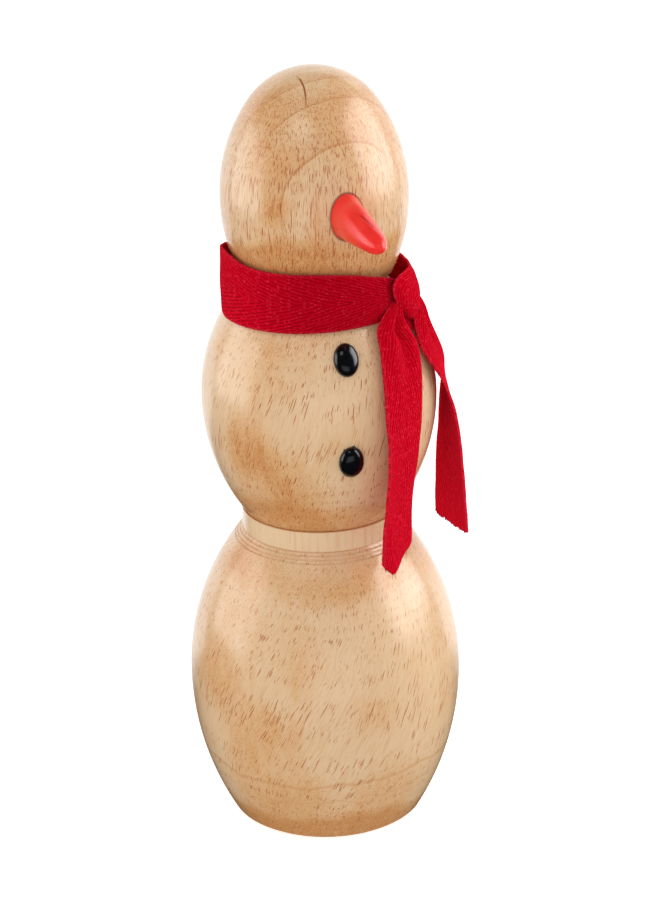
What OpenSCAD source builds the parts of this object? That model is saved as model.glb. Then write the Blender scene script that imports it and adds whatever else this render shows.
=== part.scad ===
// Turned wooden snowman with a tied tape scarf, in millimetres.
// The figure stands on z = 0 with its turning axis on Z, and it faces -Y.

/* [Base] */
// Greatest radius of the base
base_r = 47.7; // [46:0.1:50]
// Height of the base's widest line
base_widest_z = 52.2; // [50:0.1:54]
// Radius of the turned arc below the widest line
base_lower_arc = 104.2; // [95:0.2:115]
// Radius of the turned arc above the widest line
base_upper_arc = 86.5; // [84:0.5:88]
// Height of the bevel round the foot
foot_edge = 0.8; // [0.4:0.1:1.5]
// Number of fine rings cut in the shoulder below the collar
ring_count = 3; // [1:1:4]

/* [Waist collar] */
// Radius of the collar under the torso
collar_r = 27.7; // [27:0.1:28.5]
// Height of the collar's upper edge, on which the torso stands
torso_z = 114.9; // [114:0.1:116]

/* [Torso] */
// Greatest radius of the torso
torso_r = 40.4; // [39.5:0.1:41]
// Height of the torso's widest line
torso_widest_z = 155.9; // [155:0.1:157]
// Radius of the turned arc below the widest line
torso_lower_arc = 69.6; // [67:0.2:72]
// Radius of the turned arc above the widest line
torso_upper_arc = 58.3; // [56:0.1:58.4]

/* [Neck] */
// Radius of the neck under the scarf
neck_r = 24; // [20:0.5:24]
// Height at which the torso narrows to the neck
neck_z = 196; // [195:0.5:196]
// Height of the neck itself
neck_h = 4.5; // [3:0.5:5]

/* [Head] */
// Greatest radius of the head
head_r = 31.8; // [31:0.1:32]
// Height of the head's widest line
head_widest_z = 226.4; // [225:0.2:228]
// Radius of the turned arc below the widest line
head_lower_arc = 62; // [58:1:70]
// Radius of the ball that forms the crown
crown_r = 26.5; // [24:0.5:28]
// Height of the whole figure
total_h = 270; // [268:1:272]

/* [Dowels] */
// Diameter of the two dowels that join the turned pieces
dowel_d = 10; // [8:0.5:12]
// Depth to which each dowel enters each piece
dowel_depth = 20; // [15:1:24]
// Room for glue round a dowel, a tenon or a peg
glue_gap = 0.05; // [0.03:0.01:0.1]

/* [Nose] */
// Height of the middle of the nose on the head
nose_z = 227.2; // [222:0.2:232]
// Turn of the nose round the head, away from the buttons' line
nose_offset = 4.5; // [0:0.5:6]
// Droop of the nose below the horizontal
nose_droop = 3; // [0:1:6]
// Length of the nose that shows
nose_len = 31; // [25:0.5:34]
// Height of the oval rim against the head
nose_rim_h = 16; // [15:0.2:18]
// Height of the oval where the flare ends
nose_root_h = 13.6; // [12:0.2:14]
// Width of the nose's oval over its height
nose_oval = 0.72; // [0.7:0.02:1]
// Radius of the rounded tip
nose_tip_r = 3.6; // [3:0.1:4.5]
// Diameter of the tenon in the head
tenon_d = 6; // [5:0.5:7]
// Length of the tenon
tenon_len = 12; // [8:1:14]

/* [Buttons] */
// Width of an oval button
button_w = 8.6; // [8:0.1:9]
// Height of an oval button
button_h = 11.4; // [10.5:0.1:12]
// How far a button stands out of the torso
button_rise = 3.2; // [2.5:0.1:4]
// Height of the upper button
button_upper_z = 179.5; // [178:0.5:181]
// Height of the lower button
button_lower_z = 145; // [143:0.5:147]
// Diameter of a button's peg
peg_d = 2.4; // [2:0.1:3]
// Length of a button's peg
peg_len = 7; // [5:0.5:9]

/* [Scarf] */
// Width of the tape
tape_w = 20; // [18:0.5:21]
// Thickness of the tape
tape_t = 1.1; // [0.8:0.1:1.2]
// Height of the lower edge of the turn round the neck
wrap_z = 187.8; // [187.6:0.1:188.4]
// Inside radius of the turn at its lower edge
wrap_lower_r = 31.4; // [31.3:0.1:31.8]
// Inside radius of the turn at its upper edge
wrap_upper_r = 29.8; // [29.7:0.1:30.4]
// Place of the knot, turned from the front towards +X
knot_turn = 48; // [46:1:50]
// Height of the lower end of the tails
tail_end_z = 105; // [95:1:110]

/* [Hidden] */
$fn = 96;

head_z = neck_z + neck_h;

// Height at which the base's upper arc comes in to the collar's radius
collar_z = base_widest_z
    + sqrt(pow(base_upper_arc, 2) - pow(base_upper_arc - base_r + collar_r, 2));
crown_z = total_h - crown_r;

// Radius of the arc from the head's widest line that runs smoothly into the crown
crown_rise = crown_z - head_widest_z;
head_upper_arc = (head_r * head_r + crown_rise * crown_rise - crown_r * crown_r)
    / (2 * (head_r - crown_r));
crown_tilt = atan2(crown_rise, head_upper_arc - head_r);
crown_start_z = crown_z + crown_r * sin(crown_tilt);

// The bevel starts at foot_r on the floor and runs out into the lower arc
bevel_run = 1.5 * foot_edge;
foot_r = arc_r(base_r, base_widest_z, base_lower_arc, foot_edge) - bevel_run;

ring_pitch = 1.1;
ring_r = 0.3;
nose_neck_h = nose_root_h + 0.4 * (nose_rim_h - nose_root_h);
dowel_end_gap = 1;
dowel_chamfer = 1;
seat_depth = 1.5;
disc_t = 0.1;
rim_len = 2.5;
flare_len = 7.7;
hull_fn = 36;
wrap_upper_z = wrap_z + tape_w;

// Radius of a turned arc of radius b at height z, where R is the widest radius at height zw
function arc_r(R, zw, b, z) = R - b + sqrt(b * b - pow(z - zw, 2));

// The part of a turned outline between z0 and z1, grown outwards by grow
module arc_slice(R, zw, b, z0, z1, grow = 0) {
    intersection() {
        translate([R - b, zw]) circle(b + grow, $fn = 360);
        translate([0, z0]) square([R + grow + 1, z1 - z0]);
    }
}

module base_outline() {
    difference() {
        arc_slice(base_r, base_widest_z, base_lower_arc, 0, base_widest_z);
        polygon([
            [foot_r - bevel_run, -foot_edge], [foot_r + 3 * bevel_run, 3 * foot_edge],
            [foot_r + 3 * bevel_run, -foot_edge]
        ]);
    }
    arc_slice(base_r, base_widest_z, base_upper_arc, base_widest_z, torso_z);
    translate([0, base_widest_z + 1]) square([collar_r, torso_z - base_widest_z - 1]);
}

module torso_outline(grow = 0) {
    arc_slice(torso_r, torso_widest_z, torso_lower_arc, torso_z, torso_widest_z, grow);
    arc_slice(torso_r, torso_widest_z, torso_upper_arc, torso_widest_z, neck_z, grow);
}

module head_outline(grow = 0) {
    arc_slice(head_r, head_widest_z, head_lower_arc, head_z, head_widest_z, grow);
    arc_slice(head_r, head_widest_z, head_upper_arc, head_widest_z, crown_start_z, grow);
    intersection() {
        translate([0, crown_z]) circle(crown_r + grow);
        translate([0, crown_start_z]) square([head_r + grow, crown_r + grow]);
    }
}

// A blind hole along Z from height z, upwards or downwards
module dowel_hole(z, up) {
    translate([0, 0, up ? z - 1 : z - dowel_depth])
        cylinder(d = dowel_d + 2 * glue_gap, h = dowel_depth + 1);
}

module dowel(joint_z) {
    length = 2 * dowel_depth - dowel_end_gap;
    translate([0, 0, joint_z - dowel_depth]) {
        cylinder(d1 = dowel_d - 2 * dowel_chamfer, d2 = dowel_d, h = dowel_chamfer);
        translate([0, 0, dowel_chamfer]) cylinder(d = dowel_d, h = length - 2 * dowel_chamfer);
        translate([0, 0, length - dowel_chamfer])
            cylinder(d1 = dowel_d, d2 = dowel_d - 2 * dowel_chamfer, h = dowel_chamfer);
    }
}

// Puts its children on the torso's front at height z, with -Y as the outward direction
module on_torso(z) {
    b = z > torso_widest_z ? torso_upper_arc : torso_lower_arc;
    tilt = asin((z - torso_widest_z) / b);
    translate([0, -arc_r(torso_r, torso_widest_z, b, z), z]) rotate([-tilt, 0, 0]) children();
}

// Puts its children where the nose meets the head, with -Y as the nose's direction
module at_nose() {
    surface_r = arc_r(head_r, head_widest_z, head_upper_arc, nose_z);
    rotate([0, 0, nose_offset]) translate([0, -surface_r, nose_z])
        rotate([nose_droop, 0, 0]) children();
}

// A hole that runs inwards, along +Y, from just outside the surface
module inward_hole(d, depth) {
    translate([0, -seat_depth, 0]) rotate([-90, 0, 0]) cylinder(d = d, h = depth + seat_depth);
}

module base_body() {
    color("burlywood") difference() {
        rotate_extrude() difference() {
            base_outline();
            for (i = [1 : ring_count]) {
                z = collar_z - i * ring_pitch;
                translate([arc_r(base_r, base_widest_z, base_upper_arc, z), z]) circle(ring_r);
            }
        }
        dowel_hole(torso_z, false);
    }
}

module torso_body() {
    color("burlywood") difference() {
        rotate_extrude() {
            torso_outline();
            translate([0, neck_z - 1]) square([neck_r, neck_h + 1]);
        }
        dowel_hole(torso_z, true);
        dowel_hole(head_z, false);
        on_torso(button_upper_z) inward_hole(peg_d + 2 * glue_gap, peg_len + 0.5);
        on_torso(button_lower_z) inward_hole(peg_d + 2 * glue_gap, peg_len + 0.5);
    }
}

module head_body() {
    color("burlywood") difference() {
        rotate_extrude() head_outline();
        dowel_hole(head_z, true);
        at_nose() inward_hole(tenon_d + 2 * glue_gap, tenon_len + 1);
    }
}

module waist_dowel() {
    color("tan") dowel(torso_z);
}

module neck_dowel() {
    color("tan") dowel(head_z);
}

// A thin oval disc across Y, with its back at y
module oval_disc(h, y) {
    translate([0, y, 0]) scale([nose_oval, 1, 1]) rotate([90, 0, 0])
        cylinder(d = h, h = disc_t, $fn = hull_fn);
}

module nose() {
    color("red") {
        difference() {
            at_nose() {
                hull() {
                    oval_disc(nose_rim_h, seat_depth);
                    oval_disc(nose_neck_h, -rim_len);
                }
                hull() {
                    oval_disc(nose_neck_h, -rim_len);
                    oval_disc(nose_root_h, -flare_len);
                }
                hull() {
                    oval_disc(nose_root_h, -flare_len);
                    translate([0, nose_tip_r - nose_len, 0]) sphere(nose_tip_r, $fn = hull_fn);
                }
            }
            rotate_extrude() head_outline(glue_gap);
        }
        at_nose() translate([0, -rim_len, 0]) rotate([-90, 0, 0])
            cylinder(d = tenon_d, h = tenon_len + rim_len);
    }
}

module button(z) {
    color("black") {
        difference() {
            on_torso(z) scale([button_w / 2, button_rise, button_h / 2]) sphere(1);
            rotate_extrude() torso_outline(glue_gap);
        }
        on_torso(z) translate([0, -button_rise / 2, 0]) rotate([-90, 0, 0])
            cylinder(d = peg_d, h = peg_len + button_rise / 2);
    }
}

module button_upper() {
    button(button_upper_z);
}

module button_lower() {
    button(button_lower_z);
}

// The tape's conical turn round the neck, inside radius and thickness as set
module scarf_wrap() {
    color("crimson") rotate_extrude() polygon([
        [wrap_lower_r, wrap_z], [wrap_lower_r + tape_t, wrap_z],
        [wrap_upper_r + tape_t, wrap_upper_z], [wrap_upper_r, wrap_upper_z]
    ]);
}

// The knot is one lump outside the turn, with the raised bight of the tape on top
module scarf_knot() {
    knot_r = 35;
    color("crimson") difference() {
        rotate([0, 0, knot_turn]) hull() {
            translate([0, -knot_r, 194]) scale([5, 3.6, 4.5]) sphere(1, $fn = hull_fn);
            translate([0, 2 - knot_r, 203]) scale([4.5, 3, 4.5]) sphere(1, $fn = hull_fn);
        }
        translate([0, 0, wrap_z - 20]) cylinder(
            r1 = wrap_lower_r + tape_t + 0.05 + 20 * (wrap_lower_r - wrap_upper_r) / tape_w,
            r2 = wrap_upper_r + tape_t + 0.05 - 20 * (wrap_lower_r - wrap_upper_r) / tape_w,
            h = tape_w + 40);
    }
}

// Stations of each tail: height, turn round Z from the front, distance from the axis,
// the turn to which the tape's face points, and the width there
front_stations = [
    [188.2, 43, 36.2, 35, 9],
    [184, 40, 37.2, 33, 13],
    [178, 33, 38.8, 33, 18],
    [165, 27, 42.4, 37, 20],
    [155, 25.5, 43.6, 40, 20],
    [145, 24.5, 43.9, 43, 20],
    [131, 22.5, 43.2, 45, 20],
    [118, 21.5, 42.9, 46, 19],
    [tail_end_z, 21.5, 42.9, 47, 18]
];
rear_stations = [
    [188.2, 62, 36.4, 52, 9],
    [184, 61, 37.2, 53, 13],
    [178, 60.5, 38.6, 56, 18],
    [170, 66.5, 41, 64, 20],
    [162, 71.5, 43, 73, 20],
    [152, 73.5, 44.2, 86, 20],
    [135, 75, 45, 96, 20],
    [118, 75, 45.2, 103, 20],
    [tail_end_z, 75, 45.2, 106, 20]
];

function station_middle(s) = [s[2] * sin(s[1]), -s[2] * cos(s[1]), s[0]];
function station_face(s) = [sin(s[3]), -cos(s[3]), 0];
function station_side(s) = [cos(s[3]), sin(s[3]), 0];
function station_ring(s) = [
    for (c = [[-1, -1], [1, -1], [1, 1], [-1, 1]])
        station_middle(s) + c[0] * s[4] / 2 * station_side(s) + c[1] * tape_t / 2 * station_face(s)
];

// A ribbon with one four-cornered ring at each station and a flat end at top and bottom
module ribbon(stations) {
    n = len(stations);
    points = [for (s = stations) each station_ring(s)];
    sides = [
        for (i = [0 : n - 2]) for (k = [0 : 3])
            let (a = 4 * i + k, b = 4 * i + (k + 1) % 4)
                each [[a, b, b + 4], [a, b + 4, a + 4]]
    ];
    top = [[3, 2, 1], [3, 1, 0]];
    last = 4 * (n - 1);
    bottom = [[last, last + 1, last + 2], [last, last + 2, last + 3]];
    polyhedron(points = points, faces = concat(sides, top, bottom));
}

module scarf_tail_front() {
    color("crimson") ribbon(front_stations);
}

module scarf_tail_rear() {
    color("crimson") ribbon(rear_stations);
}

base_body();
torso_body();
head_body();
waist_dowel();
neck_dowel();
nose();
button_upper();
button_lower();
scarf_wrap();
scarf_knot();
scarf_tail_front();
scarf_tail_rear();
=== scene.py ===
import math
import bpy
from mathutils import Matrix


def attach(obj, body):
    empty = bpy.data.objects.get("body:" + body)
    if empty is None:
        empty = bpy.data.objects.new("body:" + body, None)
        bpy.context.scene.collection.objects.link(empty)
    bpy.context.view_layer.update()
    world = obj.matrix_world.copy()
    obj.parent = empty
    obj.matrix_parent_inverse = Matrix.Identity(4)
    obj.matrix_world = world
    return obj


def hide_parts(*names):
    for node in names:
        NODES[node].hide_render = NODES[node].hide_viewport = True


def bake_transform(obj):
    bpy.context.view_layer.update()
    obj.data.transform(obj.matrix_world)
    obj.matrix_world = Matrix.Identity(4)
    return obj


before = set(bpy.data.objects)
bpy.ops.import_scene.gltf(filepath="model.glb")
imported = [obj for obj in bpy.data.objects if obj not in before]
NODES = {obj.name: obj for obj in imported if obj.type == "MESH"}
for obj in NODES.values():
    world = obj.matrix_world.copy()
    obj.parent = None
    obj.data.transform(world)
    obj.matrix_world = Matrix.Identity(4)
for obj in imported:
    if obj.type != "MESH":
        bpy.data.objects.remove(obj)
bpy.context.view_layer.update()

from types import SimpleNamespace

import bmesh
import bpy
import numpy as np
from mathutils import Matrix, Vector, noise

# Shapes are drawn in millimetres, with the foot at 0, up along +Z and the figure's front towards -Y.
# A turn is an angle in degrees from the front towards +X, which is the figure's left side.
MM = 0.001

# The turned outline of the CAD model: the widest radii, their heights, and the arcs above and below them
HEAD_R, HEAD_Z, HEAD_LOW_ARC, CROWN_R, TOP_Z = 31.8, 226.4, 62.0, 26.5, 270.0
TORSO_R, TORSO_Z, TORSO_LOW_ARC, TORSO_UP_ARC = 40.4, 155.9, 69.6, 58.3
BASE_R, BASE_Z = 47.7, 52.2
COLLAR_TOP, COLLAR_LOW = 114.9, 107.5

# The nose: the height and turn of its middle, its droop, half its root's height, and its width to height
NOSE_Z, NOSE_TURN, NOSE_DROOP, NOSE_ROOT, NOSE_OVAL = 227.2, 4.5, 3.0, 7.8, 0.72

# The tape: thickness, half width and the distance between its ribs, and where pieces start along its UV map
TAPE_T, TAPE_HALF, RIB_PITCH = 0.9, 10.0, 1.12
CORE_FROM, FRONT_TAIL_FROM, REAR_TAIL_FROM = 12.0, 205.0, 305.0
ROW_POINTS = 7             # control points across the tape

PHOTO_TURN, PHOTO_ELEVATION = -15.0, 22.0   # where the photograph was taken from
FLOOR_Z = -0.0002          # metres, just under the foot


# ---------------------------------------------------------------- small helpers

def polar(turn, r, z):
    """A point from a turn, a distance from the axis and a height."""
    a = math.radians(turn)
    return np.array([r * math.sin(a), -r * math.cos(a), z])


def outward(turn, elevation):
    """The direction from the figure towards a viewer or a light."""
    a, e = math.radians(turn), math.radians(elevation)
    return Vector((math.sin(a) * math.cos(e), -math.cos(a) * math.cos(e), math.sin(e)))


def arc_r(widest, widest_z, arc, z):
    """Radius at height z of an outline that follows an arc from its widest place."""
    return widest - arc + np.sqrt(np.maximum(arc * arc - (z - widest_z) ** 2, 0))


def head_radius(z):
    crown_z = TOP_Z - CROWN_R
    rise = crown_z - HEAD_Z
    up_arc = (HEAD_R ** 2 + rise * rise - CROWN_R ** 2) / (2 * (HEAD_R - CROWN_R))
    crown_from = crown_z + CROWN_R * math.sin(math.atan2(rise, up_arc - HEAD_R))
    low = arc_r(HEAD_R, HEAD_Z, HEAD_LOW_ARC, z)
    up = arc_r(HEAD_R, HEAD_Z, up_arc, z)
    cap = np.sqrt(np.maximum(CROWN_R ** 2 - (z - crown_z) ** 2, 0))
    return np.where(z < HEAD_Z, low, np.where(z < crown_from, up, cap))


def torso_radius(z):
    return np.where(z < TORSO_Z, arc_r(TORSO_R, TORSO_Z, TORSO_LOW_ARC, z),
                    arc_r(TORSO_R, TORSO_Z, TORSO_UP_ARC, z))


NOSE_ORIGIN = tuple(polar(NOSE_TURN, float(head_radius(NOSE_Z)), NOSE_Z))


def spline(knots, rows, at):
    """Natural cubic spline through rows at knots, read at the places in at."""
    x, y = np.asarray(knots, float), np.asarray(rows, float)
    n = len(x)
    h = np.diff(x)
    A = np.eye(n)
    rhs = np.zeros((n,) + y.shape[1:])
    for i in range(1, n - 1):
        A[i, i - 1:i + 2] = h[i - 1], 2 * (h[i - 1] + h[i]), h[i]
        rhs[i] = 6 * ((y[i + 1] - y[i]) / h[i] - (y[i] - y[i - 1]) / h[i - 1])
    m = np.linalg.solve(A, rhs.reshape(n, -1)).reshape(rhs.shape)
    at = np.asarray(at, float)
    i = np.clip(np.searchsorted(x, at) - 1, 0, n - 2)
    shape = (-1,) + (1,) * (y.ndim - 1)
    hi = h[i].reshape(shape)
    a = ((x[i + 1] - at).reshape(shape)) / hi
    b = 1 - a
    return a * y[i] + b * y[i + 1] + ((a ** 3 - a) * m[i] + (b ** 3 - b) * m[i + 1]) * hi ** 2 / 6


def mesh_piece(name, points, faces):
    """A smooth mesh object from points in millimetres."""
    me = bpy.data.meshes.new(name)
    me.from_pydata((np.asarray(points, float) * MM).tolist(), [], faces)
    me.polygons.foreach_set("use_smooth", [True] * len(me.polygons))
    me.update()
    o = bpy.data.objects.new(name, me)
    bpy.context.scene.collection.objects.link(o)
    return o


def wear(o, material):
    """Gives a piece one material, and no other."""
    o.data.materials.clear()
    o.data.materials.append(material)


def tapered_faces(rings, sides):
    """Faces over rings of points and one more point at the tip, with the first ring closed by a flat end."""
    around = [(i, (i + 1) % sides) for i in range(sides)]
    faces = [(k * sides + i, (k + 1) * sides + i, (k + 1) * sides + j, k * sides + j)
             for k in range(rings - 1) for i, j in around]
    last, tip = (rings - 1) * sides, rings * sides
    faces += [(last + i, tip, last + j) for i, j in around]
    faces.append(tuple(range(sides)))
    return faces


# ---------------------------------------------------------------- materials

class Graph:
    """A material's nodes, added by short calls that take and give sockets or plain numbers."""

    SOCKETS = {"color": "Base Color", "rough": "Roughness", "specular": "Specular IOR Level",
               "normal": "Normal", "coat": "Coat Weight", "coat_rough": "Coat Roughness",
               "coat_ior": "Coat IOR",
               "sheen": "Sheen Weight", "sheen_rough": "Sheen Roughness", "sheen_tint": "Sheen Tint",
               "glow": "Emission Color", "glow_strength": "Emission Strength"}

    def __init__(self, name):
        self.material = bpy.data.materials.new(name)
        self.material.use_nodes = True
        self.tree = self.material.node_tree
        self.tree.nodes.clear()
        out = self.tree.nodes.new("ShaderNodeOutputMaterial")
        self.shader = self.tree.nodes.new("ShaderNodeBsdfPrincipled")
        self.tree.links.new(self.shader.outputs[0], out.inputs["Surface"])

    def put(self, socket, value):
        if isinstance(value, bpy.types.NodeSocket):
            self.tree.links.new(value, socket)
        elif value is not None:
            socket.default_value = value

    def add(self, kind, inputs=(), output=0):
        node = self.tree.nodes.new(kind)
        for key, value in dict(inputs).items():
            self.put(node.inputs[key], value)
        return node.outputs[output]

    def math(self, operation, a, b=None, c=None):
        node = self.tree.nodes.new("ShaderNodeMath")
        node.operation = operation
        for socket, value in zip(node.inputs, (a, b, c)):
            self.put(socket, value)
        return node.outputs[0]

    def times(self, first, *others):
        for other in others:
            first = self.math("MULTIPLY", first, other)
        return first

    def less(self, a, b):
        return self.math("SUBTRACT", a, b)

    def plus(self, base, x, amount):
        """base + amount * x"""
        return self.math("MULTIPLY_ADD", x, amount, base)

    def sway(self, base, x, amount):
        """base + amount * (x - 0.5), for an x that lies about 0.5."""
        return self.math("MULTIPLY_ADD", self.less(x, 0.5), amount, base)

    def vector(self, operation, a, b=None):
        node = self.tree.nodes.new("ShaderNodeVectorMath")
        node.operation = operation
        self.put(node.inputs[0], a)
        self.put(node.inputs[1], b)
        return node.outputs["Value" if operation in ("LENGTH", "DISTANCE") else "Vector"]

    def step(self, x, low, high):
        """Smoothly from 0 at low to 1 at high; low may be the larger one, which turns it round."""
        node = self.tree.nodes.new("ShaderNodeMapRange")
        node.interpolation_type = "SMOOTHSTEP"
        self.put(node.inputs["Value"], x)
        values = (low, high, 0.0, 1.0) if low < high else (high, low, 1.0, 0.0)
        for key, value in zip(("From Min", "From Max", "To Min", "To Max"), values):
            node.inputs[key].default_value = value
        return node.outputs["Result"]

    def mix(self, share, a, b):
        node = self.tree.nodes.new("ShaderNodeMix")
        node.data_type = "RGBA"
        self.put(node.inputs[0], share)
        for socket, value in ((node.inputs[6], a), (node.inputs[7], b)):
            self.put(socket, (*value, 1.0) if isinstance(value, tuple) else value)
        return node.outputs[2]

    def noise(self, place, stretch, detail=2.0, rough=0.5, output=0):
        """Noise at a place that is first multiplied by stretch, for each axis or for all of them."""
        scale = stretch
        if isinstance(stretch, tuple):
            place, scale = self.vector("MULTIPLY", place, stretch), 1.0
        inputs = {"Vector": place, "Scale": scale, "Detail": detail, "Roughness": rough}
        return self.add("ShaderNodeTexNoise", inputs, output)

    def cells(self, place, size):
        """Scattered grains of a size: how far the nearest one is, and two numbers of its own."""
        node = self.tree.nodes.new("ShaderNodeTexVoronoi")
        self.put(node.inputs["Vector"], self.vector("DIVIDE", place, size))
        node.inputs["Scale"].default_value = 1.0
        first, second, _ = self.split(node.outputs["Color"])
        return node.outputs["Distance"], first, second

    def as_nose(self, place):
        """A place as the tilted nose sees it: across it, along it into the head, and up it."""
        node = self.tree.nodes.new("ShaderNodeMapping")
        node.vector_type = "TEXTURE"
        self.put(node.inputs["Vector"], place)
        node.inputs["Location"].default_value = NOSE_ORIGIN
        node.inputs["Rotation"].default_value = (math.radians(NOSE_DROOP), 0.0, math.radians(NOSE_TURN))
        return self.split(node.outputs["Vector"])

    def bump(self, height, distance, strength):
        return self.add("ShaderNodeBump", {"Height": height, "Distance": distance, "Strength": strength})

    def combine(self, x, y, z):
        return self.add("ShaderNodeCombineXYZ", {"X": x, "Y": y, "Z": z})

    def split(self, vector):
        node = self.tree.nodes.new("ShaderNodeSeparateXYZ")
        self.put(node.inputs[0], vector)
        return node.outputs[0], node.outputs[1], node.outputs[2]

    def place(self):
        """Position on the object in millimetres."""
        return self.vector("MULTIPLY", self.add("ShaderNodeTexCoord", output="Object"), (1 / MM,) * 3)

    def set(self, **values):
        for key, value in values.items():
            socket = self.shader.inputs[self.SOCKETS[key]]
            self.put(socket, (*value, 1.0) if isinstance(value, tuple) else value)
        return self.material


PALE = (0.84, 0.600, 0.365)
TAN = (0.77, 0.440, 0.200)
ORANGE = (0.66, 0.300, 0.100)
PORE = (0.44, 0.085, 0.006)
LINE = (0.56, 0.215, 0.065)
SPECK = (0.46, 0.140, 0.030)
SMUDGE = (0.045, 0.025, 0.015)
COLLAR_PALE = (0.90, 0.655, 0.405)
CRACK = (0.30, 0.045, 0.004)
# painted shade round the nose's root
NOSE_ROOT_SHADE = (0.22, 0.030, 0.008)


def grain_space(g, radius, height, lean, seed, pore_length):
    """Places as the grain sees them, and the noises that several parts of the wood share.

    lean: the grain's slope, as its mean, its swing round the body and the turn where it is steepest."""
    p = g.place()
    x, y, z = g.split(p)
    shifted = g.vector("ADD", p, (seed * 13.7, seed * 7.3, seed * 29.1))
    turn = g.math("ARCTAN2", x, g.times(y, -1.0))
    mean, swing, steepest = lean
    slope = g.plus(mean, g.math("COSINE", g.less(turn, math.radians(steepest))), swing)
    slow = g.noise(shifted, (0.035, 0.035, 0.03))
    around = g.sway(g.less(g.times(turn, radius), g.times(g.less(z, height), slope)), slow, 6.0)
    depth = g.math("SQRT", g.math("ADD", g.times(x, x), g.times(y, y)))
    stagger = g.noise(g.combine(around, depth, 0.0), (0.55, 0.35, 1.0))   # so vessels don't stand in rows
    along = g.sway(z, stagger, 5.0 * pore_length)
    grain = g.vector("ADD", g.combine(around, depth, along), (seed * 211.0, 0.0, 0.0))
    level = g.math("ABSOLUTE", g.split(g.add("ShaderNodeNewGeometry", output="Normal"))[2])
    return SimpleNamespace(
        p=p, x=x, y=y, z=z, shifted=shifted, slow=slow, grain=grain,
        ends=g.step(level, 0.25, 0.95), crown=g.step(level, 0.72, 0.90),
        cloud=g.noise(shifted, (0.040, 0.040, 0.020), 4.0, 0.55),
        mottle=g.noise(shifted, (0.40, 0.40, 0.08), 4.0, 0.65),
        grit=g.noise(shifted, (2.6, 2.6, 1.3), 2.0, 0.6))


def vessels(g, w, pore, long_share, short_share):
    """Thin tubes along the grain, long and short, each with its own size and some left out. On the crown,
    where the grain is cut across, they are dots."""
    clearing = g.noise(w.shifted, (0.11, 0.11, 0.05), 3.0, 0.6)

    def tubes(place, size, thin, spread, follow, share):
        away, big, kept = g.cells(place, size)
        reach = g.math("DIVIDE", away, g.plus(thin, big, spread))
        keep = g.sway(kept, clearing, follow)
        return g.times(g.step(reach, 1.0, 0.55), g.step(keep, 1 - share, 1.06 - share))

    across, inward, up = pore
    long = tubes(w.grain, pore, 0.22, 0.22, 1.6, long_share)
    beside = g.vector("ADD", w.grain, (37.0, 11.0, 53.0))
    short = tubes(beside, (0.8 * across, 0.8 * inward, 0.38 * up), 0.24, 0.20, -0.8, short_share)
    tubes_seen = g.times(g.math("MAXIMUM", long, g.times(short, 0.9)), g.less(1.0, w.crown))
    away, _, kept = g.cells(w.shifted, (0.75, 0.75, 2.4))
    dots = g.times(g.step(away, 0.30, 0.14), g.step(kept, 0.45, 0.5))
    return g.math("ADD", tubes_seen, g.times(dots, w.crown))


def darkness(g, w, patches, bands):
    """How dark the wood is at each place, with the painted shade and painted light of some patches and bands.
    """
    dark = g.plus(g.plus(0.14, g.step(w.cloud, 0.42, 0.72), 0.40), w.ends, 0.10)
    drift = g.noise(w.shifted, (0.05, 0.05, 0.03), output=1)
    drift = g.vector("MULTIPLY", g.vector("SUBTRACT", drift, (0.5,) * 3), (14.0,) * 3)
    for point, size, strength in patches:
        away = g.vector("DISTANCE", g.vector("ADD", w.p, drift), point)
        dark = g.plus(dark, g.step(away, size, 0.0), strength)
    soft_z = g.sway(g.sway(w.z, w.mottle, 7.0), w.slow, 20.0)
    for low, high, strength in bands:
        inside = g.times(g.step(soft_z, low - 3, low + 4), g.step(soft_z, high, high - 7))
        dark = g.plus(dark, inside, strength)
    return g.times(dark, g.sway(1.0, w.mottle, 1.3), g.sway(1.0, w.grit, 1.7))


def growth_rings(g, w, colour):
    """The arcs of growth rings on the front of the crown, round a pith that leans a little."""
    pith, tilt, first, spacing, strength = (-1.5, 20, HEAD_Z), math.radians(6), 41.95, 7.15, 0.85
    place = g.vector("SUBTRACT", w.p, pith)
    rx, ry, _ = g.split(g.add("ShaderNodeMapping", {"Vector": place, "Rotation": (tilt, tilt, 0)}))
    span = g.math("SQRT", g.math("ADD", g.times(rx, rx), g.times(ry, ry)))
    span = g.sway(span, g.noise(w.p, (0.05, 0.05, 0.03), 3.0, 0.55), 0.9)
    span = g.sway(span, w.grit, 0.22)
    phase = g.math("FRACT", g.math("DIVIDE", g.less(span, first), spacing))
    ending = g.step(phase, 1.0, 0.99)
    line = g.times(g.step(phase, 0.93, 0.985), ending, g.plus(0.4, g.step(w.grit, 0.35, 0.6), 0.6))
    late = g.times(g.step(phase, 0.45, 0.97), ending)
    # they show above the nose, and fade out towards the photograph's left and lower right
    a = math.radians(PHOTO_TURN)
    sideways = g.plus(g.times(w.y, math.sin(a)), w.x, math.cos(a))
    lowered = g.plus(sideways, g.less(w.z, 240.0), -0.8)
    above = g.times(g.step(w.z, 220.0, 237.0), g.step(sideways, -19.0, -12.0), g.step(lowered, 26.0, 17.0))
    colour = g.mix(g.times(line, above, strength), colour, LINE)
    return g.mix(g.times(late, above, 0.30 * strength), colour, ORANGE)


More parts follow.
